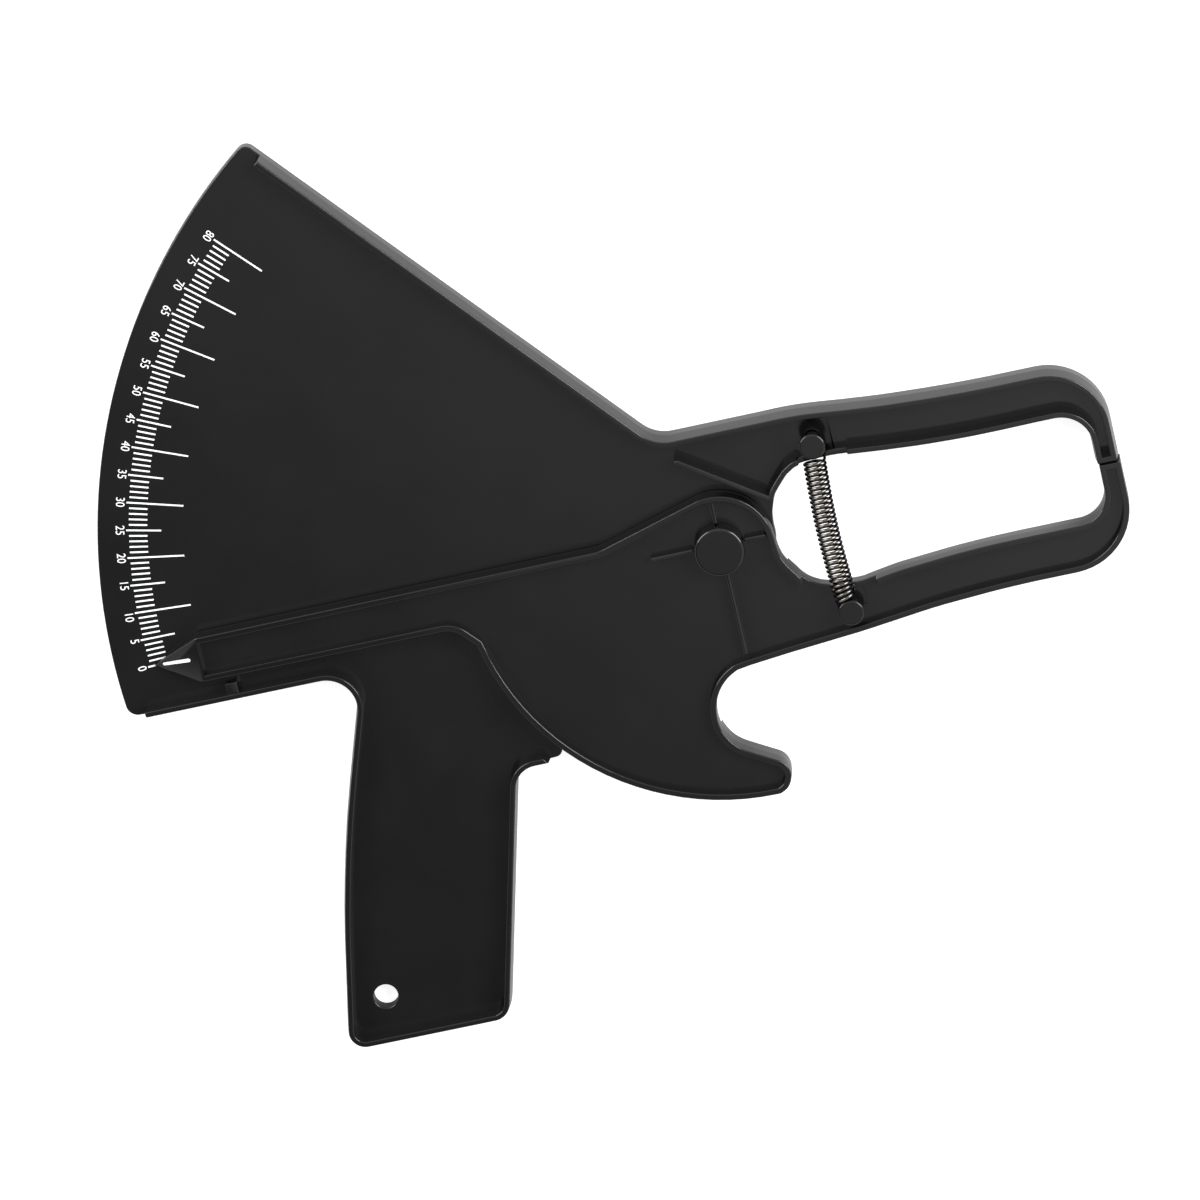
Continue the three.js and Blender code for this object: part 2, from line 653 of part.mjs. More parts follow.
const caliper = new THREE.Group();
caliper.add(
  piece('body_frame', body, blackPlastic),
  piece('lever', lever, blackPlastic),
  piece('pivot_stud', stud, capPlastic),
  piece('retaining_washer', washer, washerSteel),
  piece('spring_post_upper', post(upperPostX, upperPostY, upperSocketFloor), capPlastic),
  piece('spring_post_lower', post(lowerPostX, -lowerPostY, lowerSocketFloor), capPlastic),
  springMesh,
);

export default caliper;
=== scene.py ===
# %% [markdown]
# # A skinfold caliper in Blender
# The object is a hand-held caliper of black moulded plastic. A flat body carries the upper jaw, a dial
# with a printed millimetre scale, and a grip. A lever turns on a stud and carries the lower jaw, a
# finger hook and a pointer arm. A bright tension spring between two posts closes the jaws.
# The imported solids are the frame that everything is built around. They fix every size and place, so
# this script adds only what solids lack: soft moulded edges, a fine spring, print, finishes and light.

# %% Load the frame
import math

import bmesh
import bpy
from mathutils import Matrix, Vector


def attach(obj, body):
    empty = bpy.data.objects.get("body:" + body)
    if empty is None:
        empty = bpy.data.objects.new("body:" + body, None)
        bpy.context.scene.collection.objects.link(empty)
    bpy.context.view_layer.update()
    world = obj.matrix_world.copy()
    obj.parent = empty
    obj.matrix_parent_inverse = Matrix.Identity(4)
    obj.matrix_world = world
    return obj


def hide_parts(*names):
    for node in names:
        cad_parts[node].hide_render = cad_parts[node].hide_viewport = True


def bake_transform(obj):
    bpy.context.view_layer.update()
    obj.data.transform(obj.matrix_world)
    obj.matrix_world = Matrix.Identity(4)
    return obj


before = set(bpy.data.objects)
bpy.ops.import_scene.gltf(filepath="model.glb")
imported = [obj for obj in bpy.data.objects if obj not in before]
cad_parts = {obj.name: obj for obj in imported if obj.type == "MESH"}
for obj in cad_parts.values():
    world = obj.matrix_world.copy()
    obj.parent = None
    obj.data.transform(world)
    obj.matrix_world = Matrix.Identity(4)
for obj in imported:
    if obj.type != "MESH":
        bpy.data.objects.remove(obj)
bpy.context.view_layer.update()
MM = 0.001
print("nodes:", ", ".join(sorted(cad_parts)))

# %% [markdown]
# ## Camera
# The photograph looks almost straight down on the caliper from about two metres, with a long lens and a
# slight lean from the far side. The frame's axes are turned a little in the picture, so the camera gets
# its own up direction. A tracking constraint could aim it, but a matrix built from three directions is
# exact and leaves nothing live in the scene.

# %% Camera
CAMERA_PLACE = Vector((159.18, 590.49, 2056.4)) * MM
CAMERA_TARGET = Vector((-34.78, -8.59, 4.5)) * MM
CAMERA_UP = Vector((0.20476, 0.93421, -0.29210))
FOCAL_LENGTH_MM = 240.6
SENSOR_MM = 36.0
CLIP_END_M = 50


def aimed(place, target, up):
    """A matrix that puts an object at place and turns its -Z towards target."""
    back = (place - target).normalized()
    right = up.cross(back).normalized()
    turn = Matrix((right, back.cross(right), back)).transposed()
    return Matrix.Translation(place) @ turn.to_4x4()


camera_data = bpy.data.cameras.new("camera")
camera_data.lens = FOCAL_LENGTH_MM
camera_data.sensor_width = SENSOR_MM
camera_data.clip_end = CLIP_END_M
camera = bpy.data.objects.new("camera", camera_data)
bpy.context.scene.collection.objects.link(camera)
camera.matrix_world = aimed(CAMERA_PLACE, CAMERA_TARGET, CAMERA_UP)
bpy.context.scene.camera = camera
bpy.context.scene.view_settings.view_transform = "Standard"
print(f"camera {(CAMERA_PLACE - CAMERA_TARGET).length:.3f} m from its target")

# %% [markdown]
# ## Helpers
# A material is a small graph. Two helpers keep the graphs short: one turns a colour that is written as
# sRGB hex into the linear numbers that shaders expect, the other adds one node with its settings and
# its links. Three more make what nearly every finish here needs: a noise of a given grain size in
# millimetres, a roughness that follows a noise, and a bump of a given depth. The last three put meshes
# into the scene.

# %% Colour and node helpers
def linear(hex_colour):
    """Linear red, green, blue and alpha of a colour such as 1a1a1a."""
    def channel(value):
        return value / 12.92 if value <= 0.04045 else ((value + 0.055) / 1.055) ** 2.4
    return tuple(channel(int(hex_colour[i:i + 2], 16) / 255) for i in (0, 2, 4)) + (1.0,)


def add(tree, kind, inputs=None, **settings):
    """Adds a node. A tuple of a node and an output name becomes a link, any other input a value."""
    node = tree.nodes.new(kind)
    for name, value in settings.items():
        setattr(node, name, value)
    for name, value in (inputs or {}).items():
        if isinstance(value, tuple) and isinstance(value[0], bpy.types.Node):
            tree.links.new(value[0].outputs[value[1]], node.inputs[name])
        else:
            node.inputs[name].default_value = value
    return node


def new_material(name):
    """An empty node material."""
    material = bpy.data.materials.new(name)
    material.use_nodes = True
    material.node_tree.nodes.clear()
    return material


# %% Helpers for finishes
MM_PER_M = 1000
NOISE_LOW, NOISE_HIGH = 0.3, 0.7


def grain(tree, place, size_mm, detail, **settings):
    """A noise in the object's own coordinates whose features are about size_mm wide."""
    return add(tree, "ShaderNodeTexNoise", {
        "Vector": (place, "Object"), "Scale": MM_PER_M / size_mm, "Detail": detail, **settings})


def roughness_from(tree, noise, low, high):
    """A roughness that follows a noise, whose values mostly lie between NOISE_LOW and NOISE_HIGH."""
    return add(tree, "ShaderNodeMapRange", {
        "Value": (noise, 0), "From Min": NOISE_LOW, "From Max": NOISE_HIGH,
        "To Min": low, "To Max": high})


def bumped(tree, height, depth_mm, **settings):
    """A bump of the given depth."""
    return add(tree, "ShaderNodeBump", {
        "Height": (height, 0), "Distance": depth_mm * MM, "Strength": 1.0, **settings})


# %% Helpers for meshes
def linked(name, data):
    """An object at the origin that shows a mesh."""
    piece = bpy.data.objects.new(name, data)
    bpy.context.scene.collection.objects.link(piece)
    return piece


def piece_of(shape, name, material):
    """Turns the result of mesh code into an object of one material."""
    data = bpy.data.meshes.new(name)
    shape.to_mesh(data)
    shape.free()
    data.materials.append(material)
    return linked(name, data)


def settle(piece):
    """Turns a piece and its modifiers into a plain mesh."""
    depsgraph = bpy.context.evaluated_depsgraph_get()
    settled = bpy.data.meshes.new_from_object(
        piece.evaluated_get(depsgraph), preserve_all_data_layers=True, depsgraph=depsgraph)
    piece.modifiers.clear()
    piece.data = settled


# %% [markdown]
# ## Black ABS
# Body and lever are injection moulded in black ABS. The mould was polished, so the plastic is glossy
# enough to mirror its own rims, but it isn't optically flat: it sinks and ripples by a few hundredths
# of a millimetre over a couple of centimetres, and it has a fine skin texture. One flat black would
# look like paper. Here the colour drifts a little with the flow of the melt, the roughness drifts with
# handling, and two bumps, one slow and one fine, break up the reflections.

# %% Black ABS
FLOW_MM = 60
HANDLING_MM = 14
RIPPLE_MM = 22
SKIN_MM = 0.5
ROUGHNESS_SPREAD = (0.85, 1.2)
PLASTIC_IOR = 1.53


def moulded_plastic(name, dark, pale, roughness, ripple_depth_mm, skin_depth_mm):
    material = new_material(name)
    tree = material.node_tree
    place = add(tree, "ShaderNodeTexCoord")
    flow = grain(tree, place, FLOW_MM, 2.0)
    colour = add(tree, "ShaderNodeMix", {
        0: (flow, 0), 6: linear(dark), 7: linear(pale)}, data_type="RGBA")
    handling = grain(tree, place, HANDLING_MM, 4.0)
    polish = roughness_from(tree, handling, *(roughness * share for share in ROUGHNESS_SPREAD))
    slow = bumped(tree, grain(tree, place, RIPPLE_MM, 1.0), ripple_depth_mm)
    fine = bumped(tree, grain(tree, place, SKIN_MM, 2.0), skin_depth_mm, Normal=(slow, 0))
    shader = add(tree, "ShaderNodeBsdfPrincipled", {
        "Base Color": (colour, 2), "Roughness": (polish, 0), "Normal": (fine, 0), "IOR": PLASTIC_IOR})
    add(tree, "ShaderNodeOutputMaterial", {"Surface": (shader, 0)})
    return material


black_abs = moulded_plastic("black_abs_moulded", "0e0e0e", "121212",
                            roughness=0.13, ripple_depth_mm=0.03, skin_depth_mm=0.001)
print("material", black_abs.name)

# %% [markdown]
# ## Black acetal
# The stud's cap and the spring posts are turned or moulded in acetal, a slippery bearing plastic. It is
# a touch blacker and glossier than the ABS.

# %% Black acetal
black_acetal = moulded_plastic("black_acetal_moulded", "0a0a0a", "0d0d0d",
                               roughness=0.1, ripple_depth_mm=0.01, skin_depth_mm=0.001)
print("material", black_acetal.name)

# %% [markdown]
# ## Drawn spring steel
# Spring wire is pulled through a die. That leaves a bright skin with hair-fine lines along the wire.
# The lines can follow the wire only in the piece's own UV map, where U runs along the wire in
# millimetres and V round it, so the noise is stretched a lot along U. Lower down than the front of the
# coil the colour is painted dark: painted shade on the coil's sides and on the wires behind it, so the
# steel is bright only on the front.

# %% Drawn spring steel
DRAW_LINES_MM = 6.0
LINES_ROUND_WIRE = 14
LINE_DEPTH_MM = 0.0006
WIRE_ROUGHNESS = (0.07, 0.15)
# Heights where the painted shade on the coil begins and where it is full.
PAINTED_SHADE_FROM_MM, PAINTED_SHADE_TO_MM = 14.1, 13.6


def drawn_steel():
    material = new_material("spring_steel_drawn")
    tree = material.node_tree
    wire = add(tree, "ShaderNodeUVMap", uv_map="wire")
    stretched = add(tree, "ShaderNodeMapping", {
        "Vector": (wire, 0), "Scale": (1 / DRAW_LINES_MM, LINES_ROUND_WIRE, 1)})
    lines = add(tree, "ShaderNodeTexNoise", {"Vector": (stretched, 0), "Scale": 1.0, "Detail": 3.0})
    bright = add(tree, "ShaderNodeMix", {
        0: (lines, 0), 6: linear("5f5b56"), 7: linear("837e77")}, data_type="RGBA")
    place = add(tree, "ShaderNodeTexCoord")
    height = add(tree, "ShaderNodeSeparateXYZ", {0: (place, "Object")})
    # Painted shade: below the front of the coil the steel's colour turns dark, for the shade on its
    # sides and on the wires behind.
    ink_film_and_painted_shade = add(tree, "ShaderNodeMapRange", {
        "Value": (height, 2), "From Min": PAINTED_SHADE_FROM_MM * MM, "From Max": PAINTED_SHADE_TO_MM * MM})
    colour = add(tree, "ShaderNodeMix", {
        0: (ink_film_and_painted_shade, 0), 6: (bright, 2), 7: linear("161514")}, data_type="RGBA")
    polish = roughness_from(tree, lines, *WIRE_ROUGHNESS)
    groove = bumped(tree, lines, LINE_DEPTH_MM)
    shader = add(tree, "ShaderNodeBsdfPrincipled", {
        "Base Color": (colour, 2), "Metallic": 1.0, "Roughness": (polish, 0), "Normal": (groove, 0)})
    add(tree, "ShaderNodeOutputMaterial", {"Surface": (shader, 0)})
    return material


spring_steel = drawn_steel()
print("material", spring_steel.name)

# %% [markdown]
# ## Plain rolled steel
# The washer behind the stud is stamped from rolled steel strip and tumbled. It is grey, duller than the
# spring, and its tumbling marks run in all directions.

# %% Plain rolled steel
TUMBLING_MM = 0.6
TUMBLING_DEPTH_MM = 0.01
STRIP_ROUGHNESS = (0.3, 0.5)


def rolled_steel():
    material = new_material("washer_steel_tumbled")
    tree = material.node_tree
    place = add(tree, "ShaderNodeTexCoord")
    marks = grain(tree, place, TUMBLING_MM, 5.0, Roughness=0.7)
    colour = add(tree, "ShaderNodeMix", {
        0: (marks, 0), 6: linear("8e8e8b"), 7: linear("b9b9b6")}, data_type="RGBA")
    polish = roughness_from(tree, marks, *STRIP_ROUGHNESS)
    dents = bumped(tree, marks, TUMBLING_DEPTH_MM)
    shader = add(tree, "ShaderNodeBsdfPrincipled", {
        "Base Color": (colour, 2), "Metallic": 1.0, "Roughness": (polish, 0), "Normal": (dents, 0)})
    add(tree, "ShaderNodeOutputMaterial", {"Surface": (shader, 0)})
    return material


washer_steel = rolled_steel()
print("material", washer_steel.name)

# %% [markdown]
# ## Pad-printed ink
# The scale is pad printed in white: a film of ink a few hundredths of a millimetre thick. It is matt
# and a little uneven, thinner in places, so it isn't a pure white.

# %% Pad-printed ink
COVER_MM = 1.5
COVER_DEPTH_MM = 0.004
INK_ROUGHNESS = 0.55
INK_IOR = 1.5


def printing_ink():
    material = new_material("white_ink_pad_printed")
    tree = material.node_tree
    place = add(tree, "ShaderNodeTexCoord")
    cover = grain(tree, place, COVER_MM, 4.0)
    colour = add(tree, "ShaderNodeMix", {
        0: (cover, 0), 6: linear("d4d6d8"), 7: linear("f4f5f6")}, data_type="RGBA")
    ink_film_and_painted_shade = bumped(tree, cover, COVER_DEPTH_MM)
    shader = add(tree, "ShaderNodeBsdfPrincipled", {
        "Base Color": (colour, 2), "Roughness": INK_ROUGHNESS, "Normal": (ink_film_and_painted_shade, 0), "IOR": INK_IOR})
    add(tree, "ShaderNodeOutputMaterial", {"Surface": (shader, 0)})
    return material


white_ink = printing_ink()
print("material", white_ink.name)

# %% [markdown]
# ## Floor and light
# The caliper lies on a table that fills the view. The table is a grey diffuse sheet that takes the
# shadow and that the caliper's steep sides mirror. Only rays that reach the eye directly get some white
# on top, which makes the table white in the picture. Flat black faces mirror the ceiling, which is
# darker towards the near left, so the grip comes out darker than the jaws. The room is brighter towards
# the horizon, and two wide lamps at the upper left and the right put a short bright line on the rounded
# edges that lean towards them.

# %% Floor
FLOOR_HALF_M = 4.0
FLOOR_DROP_M = 0.0003
WHITE_FOR_THE_EYE = 0.8


def white_table():
    material = new_material("white_table")
    tree = material.node_tree
    path = add(tree, "ShaderNodeLightPath")
    lift = add(tree, "ShaderNodeMath", {0: (path, "Is Camera Ray"), 1: WHITE_FOR_THE_EYE},
               operation="MULTIPLY")
    glow = add(tree, "ShaderNodeEmission", {"Color": (1, 1, 1, 1), "Strength": (lift, 0)})
    sheet = add(tree, "ShaderNodeBsdfDiffuse", {"Color": linear("bdbdbd")})
    both = add(tree, "ShaderNodeAddShader", {0: (sheet, 0), 1: (glow, 0)})
    add(tree, "ShaderNodeOutputMaterial", {"Surface": (both, 0)})
    return material


floor_data = bpy.data.meshes.new("floor")
corners = [(x * FLOOR_HALF_M, y * FLOOR_HALF_M, -FLOOR_DROP_M)
           for x, y in ((-1, -1), (1, -1), (1, 1), (-1, 1))]
floor_data.from_pydata(corners, [], [(0, 1, 2, 3)])
floor_data.materials.append(white_table())
floor = linked("floor", floor_data)
print(f"floor {2 * FLOOR_HALF_M:.0f} m wide")

# %% Room
HORIZON_LEVEL = 1.0
WALL_FOOT, WALL_HEAD = 0.35, 0.85
CEILING_DARK, CEILING_LIGHT = 0.1, 0.85
CEILING_SLOPE = (5.6, 4.3, 0.0)
CEILING_OFFSET = 2.02
world = bpy.data.worlds.new("room")
bpy.context.scene.world = world
world.use_nodes = True
tree = world.node_tree
tree.nodes.clear()
direction = add(tree, "ShaderNodeTexCoord")
height = add(tree, "ShaderNodeSeparateXYZ", {0: (direction, "Generated")})
walls = add(tree, "ShaderNodeMapRange", {
    "Value": (height, 2), "From Min": WALL_FOOT, "From Max": WALL_HEAD,
    "To Min": HORIZON_LEVEL, "To Max": 0.0})
across = add(tree, "ShaderNodeVectorMath", {0: (direction, "Generated"), 1: CEILING_SLOPE},
             operation="DOT_PRODUCT")
ceiling = add(tree, "ShaderNodeMapRange", {
    "Value": (across, "Value"), "From Min": CEILING_DARK - CEILING_OFFSET,
    "From Max": CEILING_LIGHT - CEILING_OFFSET, "To Min": CEILING_DARK, "To Max": CEILING_LIGHT})
level = add(tree, "ShaderNodeMath", {0: (walls, 0), 1: (ceiling, 0)}, operation="MAXIMUM")
room = add(tree, "ShaderNodeBackground", {"Color": (1, 1, 1, 1), "Strength": (level, 0)})
add(tree, "ShaderNodeOutputWorld", {"Surface": (room, 0)})
print(f"room: ceiling {CEILING_DARK} to {CEILING_LIGHT}, horizon {HORIZON_LEVEL}")

# %% Soft lamps
LAMP_DISTANCE_M = 1.6


def soft_lamp(name, azimuth, from_zenith, half_width_degrees, half_height_degrees, radiance):
    """A wide lamp that faces the caliper. Its power follows from how bright its face looks."""
    wide, high = (2 * LAMP_DISTANCE_M * math.tan(math.radians(half))
                  for half in (half_width_degrees, half_height_degrees))
    data = bpy.data.lights.new(name, "AREA")
    data.shape = "RECTANGLE"
    data.size = wide
    data.size_y = high
    data.energy = radiance * math.pi * wide * high
    lamp = bpy.data.objects.new(name, data)
    bpy.context.scene.collection.objects.link(lamp)
    flat = math.sin(math.radians(from_zenith))
    place = LAMP_DISTANCE_M * Vector((flat * math.cos(math.radians(azimuth)),
                                      flat * math.sin(math.radians(azimuth)),
                                      math.cos(math.radians(from_zenith))))
    lamp.matrix_world = aimed(place, Vector((0, 0, 0)), Vector((0, 0, 1)))
    print(f"{name}: {data.energy:.0f} W")


soft_lamp("lamp_upper_left", azimuth=138, from_zenith=57,
          half_width_degrees=18, half_height_degrees=15, radiance=7.5)
soft_lamp("lamp_right", azimuth=18, from_zenith=46,
          half_width_degrees=16, half_height_degrees=15, radiance=11)

# %% [markdown]
# ## Moulded edges
# A moulding has no knife edges: the mould's own corners leave a radius of a few tenths of a millimetre,
# and that radius is what catches the light along every rim. The solids have sharp edges, so body and
# lever are each copied, their loose triangles are welded and flat regions are joined, and every outer
# edge sharper than a few tens of degrees is bevelled. A Bevel modifier would do the same, but mesh code
# can leave out the inner corners, where ribs and walls stand closer than two radii, and can keep two
# kinds of edge crisp: those inner corners, and the parting line, a thin line round the outside where
# the two mould halves met.

# %% Moulded edges
EDGE_RADIUS_MM = 0.3
BODY_PARTING_MM = 4.5
LEVER_PARTING_MM = 6.6
PARTING_TOLERANCE_MM = 0.03
SHARP_DEGREES = 32
FLAT_DEGREES = 0.6
SLIVER_MM = 0.14
EDGE_SEGMENTS = 2
ROUND_PROFILE = 0.5
EDGE_ROOM = 1.8
STEEP = 0.2
FACE_SIZE_WEIGHT = 60


def room_beside(edge):
    """How far the narrower of an edge's two faces reaches away from it."""
    start = edge.verts[0].co
    along = (edge.verts[1].co - start).normalized()

    def away(vert):
        return ((vert.co - start) - along * (vert.co - start).dot(along)).length

    return min(max(away(vert) for vert in face.verts) for face in edge.link_faces)


def softened(node, name, parting_mm, material):
    """A copy of a solid with rounded outer edges. parting_mm is the height of its parting line."""
    shape = bmesh.new()
    shape.from_mesh(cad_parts[node].data)
    bmesh.ops.remove_doubles(shape, verts=shape.verts, dist=SLIVER_MM * MM)
    bmesh.ops.dissolve_limit(shape, angle_limit=math.radians(FLAT_DEGREES),
                             verts=shape.verts, edges=shape.edges)
    sharp = [edge for edge in shape.edges
             if edge.is_convex and edge.calc_face_angle() > math.radians(SHARP_DEGREES)
             and room_beside(edge) > EDGE_ROOM * EDGE_RADIUS_MM * MM]
    bevel = bmesh.ops.bevel(shape, geom=sharp, offset=EDGE_RADIUS_MM * MM, offset_type="OFFSET",
                            segments=EDGE_SEGMENTS, profile=ROUND_PROFILE, affect="EDGES",
                            clamp_overlap=False, miter_outer="SHARP", miter_inner="SHARP")
    rounded = set(bevel["faces"])
    shape.normal_update()
    for face in shape.faces:
        face.smooth = True
        face.material_index = 0
    for edge in shape.edges:
        level_edge = all(abs(vert.co.z / MM - parting_mm) < PARTING_TOLERANCE_MM for vert in edge.verts)
        walls_meet = all(abs(face.normal.z) < STEEP for face in edge.link_faces)
        corner = edge.calc_face_angle() > math.radians(SHARP_DEGREES)
        left_sharp = corner and (not edge.is_convex or rounded.isdisjoint(edge.link_faces))
        edge.smooth = not (left_sharp or level_edge and walls_meet)
    piece = piece_of(shape, name, material)
    weighted = piece.modifiers.new("weighted", "WEIGHTED_NORMAL")
    weighted.keep_sharp = True
    weighted.weight = FACE_SIZE_WEIGHT
    settle(piece)
    print(f"{name}: {len(sharp)} edges rounded, {len(piece.data.polygons)} faces")
    return piece


# %% Body
body = softened("body_frame", "body_moulding", BODY_PARTING_MM, black_abs)
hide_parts("body_frame")
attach(body, "frame")

# %% Lever
lever = softened("lever", "lever_moulding", LEVER_PARTING_MM, black_abs)
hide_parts("lever")
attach(lever, "lever")

# %% [markdown]
# ## Turned pieces
# The stud's cap and the heads of the spring posts are round. A lathe section, spun about its axis,
# gives them: a list of radius and height from the bottom up, with a quarter circle at the rim. The
# solids have few sides, so these are spun anew with many. A ring close to the rim keeps the top's
# shading flat. Lengths here and in the steps below are in millimetres.

# %% Turned pieces
TURNED_SIDES = 96
RIM_STEPS = 8
RIM_TO_RING = 0.1
TURNED_SHARP_DEGREES = 40


def crown(radius, top, rounding):
    """Section points of a flat top with a rounded rim, from its side up and in to the axis."""
    angles = [math.pi / 2 * step / RIM_STEPS for step in range(RIM_STEPS + 1)]
    rim = [(radius - rounding + rounding * math.cos(angle), top - rounding + rounding * math.sin(angle))
           for angle in angles]
    return rim + [(radius - rounding - RIM_TO_RING, top), (0, top)]


def turned(name, centre, section, material):
    """A closed solid of revolution. The section starts and ends on the axis."""
    shape = bmesh.new()
    turns = [2 * math.pi * side / TURNED_SIDES for side in range(TURNED_SIDES)]
    rings = [[shape.verts.new(((centre[0] + radius * math.cos(turn)) * MM,
                               (centre[1] + radius * math.sin(turn)) * MM, height * MM))
              for turn in (turns if radius else turns[:1])] for radius, height in section]
    for low, high in zip(rings, rings[1:]):
        for side in range(TURNED_SIDES):
            after = (side + 1) % TURNED_SIDES
            corner = [low[side % len(low)], low[after % len(low)],
                      high[after % len(high)], high[side % len(high)]]
            shape.faces.new(list(dict.fromkeys(corner)))
    for face in shape.faces:
        face.smooth = True
    piece = piece_of(shape, name, material)
    piece.data.set_sharp_from_angle(angle=math.radians(TURNED_SHARP_DEGREES))
    print(f"{name}: {len(piece.data.polygons)} faces")
    return piece


# %% Pivot stud
CAP_RADIUS = 6.74
CAP_TOP = 13.4
CAP_UNDERSIDE = 8.0
CAP_ROUNDING = 0.7
SHANK_RADIUS = 3.5
GROOVE_RADIUS = 2.7
GROOVE_FOOT, GROOVE_HEAD = 0.15, 1.4
stud = turned("pivot_cap", (0, 0), [
    (0, 0), (SHANK_RADIUS, 0), (SHANK_RADIUS, GROOVE_FOOT), (GROOVE_RADIUS, GROOVE_FOOT),
    (GROOVE_RADIUS, GROOVE_HEAD), (SHANK_RADIUS, GROOVE_HEAD), (SHANK_RADIUS, CAP_UNDERSIDE),
    (CAP_RADIUS, CAP_UNDERSIDE), *crown(CAP_RADIUS, CAP_TOP, CAP_ROUNDING)], black_acetal)
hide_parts("pivot_stud")
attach(stud, "frame")

# %% Spring posts
UPPER_POST = (30.3, 23.2)
LOWER_POST = (30.65, -23.9)
HEAD_RADIUS = 3.49
HEAD_TOP = 13.39
HEAD_UNDERSIDE = 12.09
HEAD_ROUNDING = 0.4
POST_NECK_RADIUS = 2.0
UPPER_POST_FOOT = 2.2
LOWER_POST_FOOT = 5.4


def spring_post(name, centre, foot):
    """A post from its foot in the moulding up to its flat head."""
    return turned(name, centre, [
        (0, foot), (POST_NECK_RADIUS, foot), (POST_NECK_RADIUS, HEAD_UNDERSIDE),
        (HEAD_RADIUS, HEAD_UNDERSIDE), *crown(HEAD_RADIUS, HEAD_TOP, HEAD_ROUNDING)], black_acetal)


upper_post = spring_post("spring_post_on_body", UPPER_POST, UPPER_POST_FOOT)
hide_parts("spring_post_upper")
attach(upper_post, "frame")
lower_post = spring_post("spring_post_on_lever", LOWER_POST, LOWER_POST_FOOT)
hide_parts("spring_post_lower")
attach(lower_post, "lever")

# %% [markdown]
# ## Tension spring
# One wire makes a loop round the upper post, a close coil of about thirty curls and a loop round the
# lower post. The coil sags a little to the side between its ends, and its last curls lean towards the
# lower post. A curve with a round bevel could be used, but a tube in mesh code keeps the curls even,
# closes both ends and carries a UV map along the wire for its drawn finish.

# %% The wire's path
WIRE_RADIUS = 0.39
COIL_RADIUS = 2.81
CURLS = 29.5
AXIS_HEIGHT = 11.4
COIL_TOP = 19.01
COIL_FOOT = -19.71
TOP_X, FOOT_X, SAG = 30.0, 30.1, 0.75
FOOT_LEAN_DEGREES = 14
LEANING_CURLS = 4
LOOP_RADIUS = 2.69
LOOP_TURN = 280
BEND_HANDLE_SHARE = 0.4
CURL_STEPS, LOOP_STEPS, BEND_STEPS = 22, 44, 14


def coil_point(turns):
    """The wire's centre after a number of turns, counted from the upper end of the coil."""
    share = turns / CURLS
    angle = 2 * math.pi * turns
    middle = TOP_X + (FOOT_X - TOP_X) * share - SAG * math.sin(math.pi * share)
    lean = math.radians(FOOT_LEAN_DEGREES) * max(0, 1 - (CURLS - turns) / LEANING_CURLS)
    aside = COIL_RADIUS * math.cos(angle)
    return Vector((middle + aside * math.cos(lean),
                   COIL_TOP + (COIL_FOOT - COIL_TOP) * share + aside * math.sin(lean),
                   AXIS_HEIGHT + COIL_RADIUS * math.sin(angle)))


def loop_points(centre, start):
    """An open loop round a post's neck. It begins at the angle start."""
    turns = [math.radians(start + LOOP_TURN * step / LOOP_STEPS) for step in range(LOOP_STEPS + 1)]
    return [Vector((centre[0] + LOOP_RADIUS * math.cos(turn), centre[1] + LOOP_RADIUS * math.sin(turn),
                    AXIS_HEIGHT)) for turn in turns]


def bent(start, leaving, end, arriving):
    """A smooth bend between the coil and a loop."""
    handle = (end - start).length * BEND_HANDLE_SHARE
    a, b = start + leaving * handle, end - arriving * handle
    return [start * (1 - t) ** 3 + a * 3 * t * (1 - t) ** 2 + b * 3 * t * t * (1 - t) + end * t ** 3
            for t in (step / BEND_STEPS for step in range(BEND_STEPS + 1))]


def wire_path():
    """The whole wire, from the open end of the upper loop to that of the lower one."""
    coil = [coil_point(step / CURL_STEPS) for step in range(int(CURLS * CURL_STEPS) + 1)]
    down = Vector((0, 0, -1))
    upper, lower = loop_points(UPPER_POST, 0), loop_points(LOWER_POST, 180)
    upper_bend = bent(coil[0], down, upper[0], Vector((0, 1, 0)))
    lower_bend = bent(coil[-1], down, lower[0], Vector((0, -1, 0)))
    return upper[::-1] + upper_bend[::-1][1:] + coil[1:] + lower_bend[1:] + lower[1:]


path = wire_path()
wire_length = sum((b - a).length for a, b in zip(path, path[1:]))
print(f"spring wire: {len(path)} points, {wire_length:.0f} mm long")

# %% The wire's tube
WIRE_SIDES = 12


def wire_tube(name, points, radius, material):
    """A closed tube along a path. Its UV map has millimetres along the wire and turns round it."""
    shape = bmesh.new()
    wire_map = shape.loops.layers.uv.new("wire")
    turns = [2 * math.pi * side / WIRE_SIDES for side in range(WIRE_SIDES)]
    normal = Vector((0, 0, 1))
    rings, along = [], [0.0]
    for index, point in enumerate(points):
        tangent = (points[min(index + 1, len(points) - 1)] - points[max(index - 1, 0)]).normalized()
        normal = (normal - tangent * normal.dot(tangent)).normalized()
        across = tangent.cross(normal)
        spokes = [normal * math.cos(turn) + across * math.sin(turn) for turn in turns]
        rings.append([shape.verts.new((point + spoke * radius) * MM) for spoke in spokes])
        if index:
            along.append(along[-1] + (point - points[index - 1]).length)
    for index in range(len(rings) - 1):
        for side in range(WIRE_SIDES):
            after = (side + 1) % WIRE_SIDES
            face = shape.faces.new((rings[index][side], rings[index][after],
                                    rings[index + 1][after], rings[index + 1][side]))
            face.smooth = True
            spots = ((index, side), (index, side + 1), (index + 1, side + 1), (index + 1, side))
            for loop, (step, turn) in zip(face.loops, spots):
                loop[wire_map].uv = (along[step], turn / WIRE_SIDES)
    shape.faces.new(rings[0][::-1])
    shape.faces.new(rings[-1])
    piece = piece_of(shape, name, material)
    print(f"{name}: {len(piece.data.polygons)} faces")
    return piece


spring = wire_tube("tension_spring", path, WIRE_RADIUS, spring_steel)
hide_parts("spring")
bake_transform(spring)

